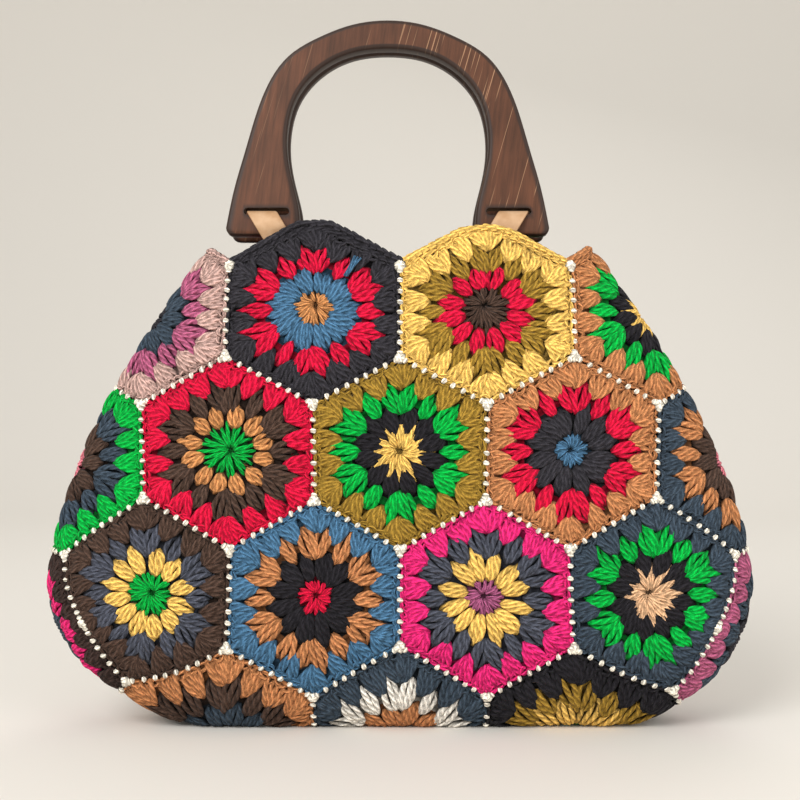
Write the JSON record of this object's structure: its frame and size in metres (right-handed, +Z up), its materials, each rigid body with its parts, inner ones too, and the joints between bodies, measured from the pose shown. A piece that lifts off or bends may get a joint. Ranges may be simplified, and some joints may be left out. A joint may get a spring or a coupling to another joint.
{
  "type": "crochet handbag",
  "caption": "Soft handbag of colourful crocheted hexagon motifs joined with cream yarn, open at the top, with swinging arched wooden handles on leather tabs.",
  "frame": {"origin": "on the floor under the middle of the base", "axes": "+X to the right seen from the front, -Y towards the front, +Z up"},
  "size_m": [0.3744, 0.077, 0.3747],
  "materials": {
    "yarn_charcoal": "soft matte yarn",
    "yarn_yellow": "soft matte yarn",
    "yarn_red": "soft matte yarn",
    "yarn_olive": "soft matte yarn",
    "yarn_tan": "soft matte yarn",
    "yarn_brown": "soft matte yarn",
    "yarn_blue": "soft matte yarn",
    "yarn_magenta": "soft matte yarn",
    "yarn_navy": "soft matte yarn",
    "yarn_green": "soft matte yarn",
    "yarn_mauve": "soft matte yarn",
    "yarn_beige": "soft matte yarn",
    "yarn_cream": "soft matte yarn",
    "handle_wood": "dark stained, satin",
    "tab_leather": "natural, matte"
  },
  "bodies": {
    "bag": {"motif_front_1a": "yarn_charcoal", "motif_front_1b": "yarn_yellow", "motif_front_2a": "yarn_red", "motif_front_2b": "yarn_olive", "motif_front_2c": "yarn_tan", "motif_front_3a": "yarn_brown", "motif_front_3b": "yarn_blue", "motif_front_3c": "yarn_magenta", "motif_front_3d": "yarn_navy", "motif_back_1a": "yarn_green", "motif_back_1b": "yarn_red", "motif_back_2a": "yarn_blue", "motif_back_2b": "yarn_brown", "motif_back_2c": "yarn_magenta", "motif_back_3a": "yarn_tan", "motif_back_3b": "yarn_navy", "motif_back_3c": "yarn_olive", "motif_back_3d": "yarn_charcoal", "motif_left_1": "yarn_beige", "motif_left_2": "yarn_green", "motif_left_3": "yarn_brown", "motif_right_1": "yarn_tan", "motif_right_2": "yarn_navy", "motif_right_3": "yarn_mauve", "motif_base_a": "yarn_tan", "motif_base_b": "yarn_navy", "motif_base_c": "yarn_charcoal", "joining_yarn": "yarn_cream", "front_tab_left": "tab_leather", "front_tab_right": "tab_leather", "rear_tab_left": "tab_leather", "rear_tab_right": "tab_leather"},
    "front_handle": {"front_handle": "handle_wood"},
    "rear_handle": {"rear_handle": "handle_wood"}
  },
  "joints": [
    {"name": "front_handle_swing", "type": "hinge", "parent": "bag", "child": "front_handle", "pos_m": [0, -0.0135, 0.264], "axis": [1, 0, 0], "range_deg": [0, 70]},
    {"name": "rear_handle_swing", "type": "hinge", "parent": "bag", "child": "rear_handle", "pos_m": [0, 0.0135, 0.264], "axis": [-1, 0, 0], "range_deg": [0, 70]}
  ]
}
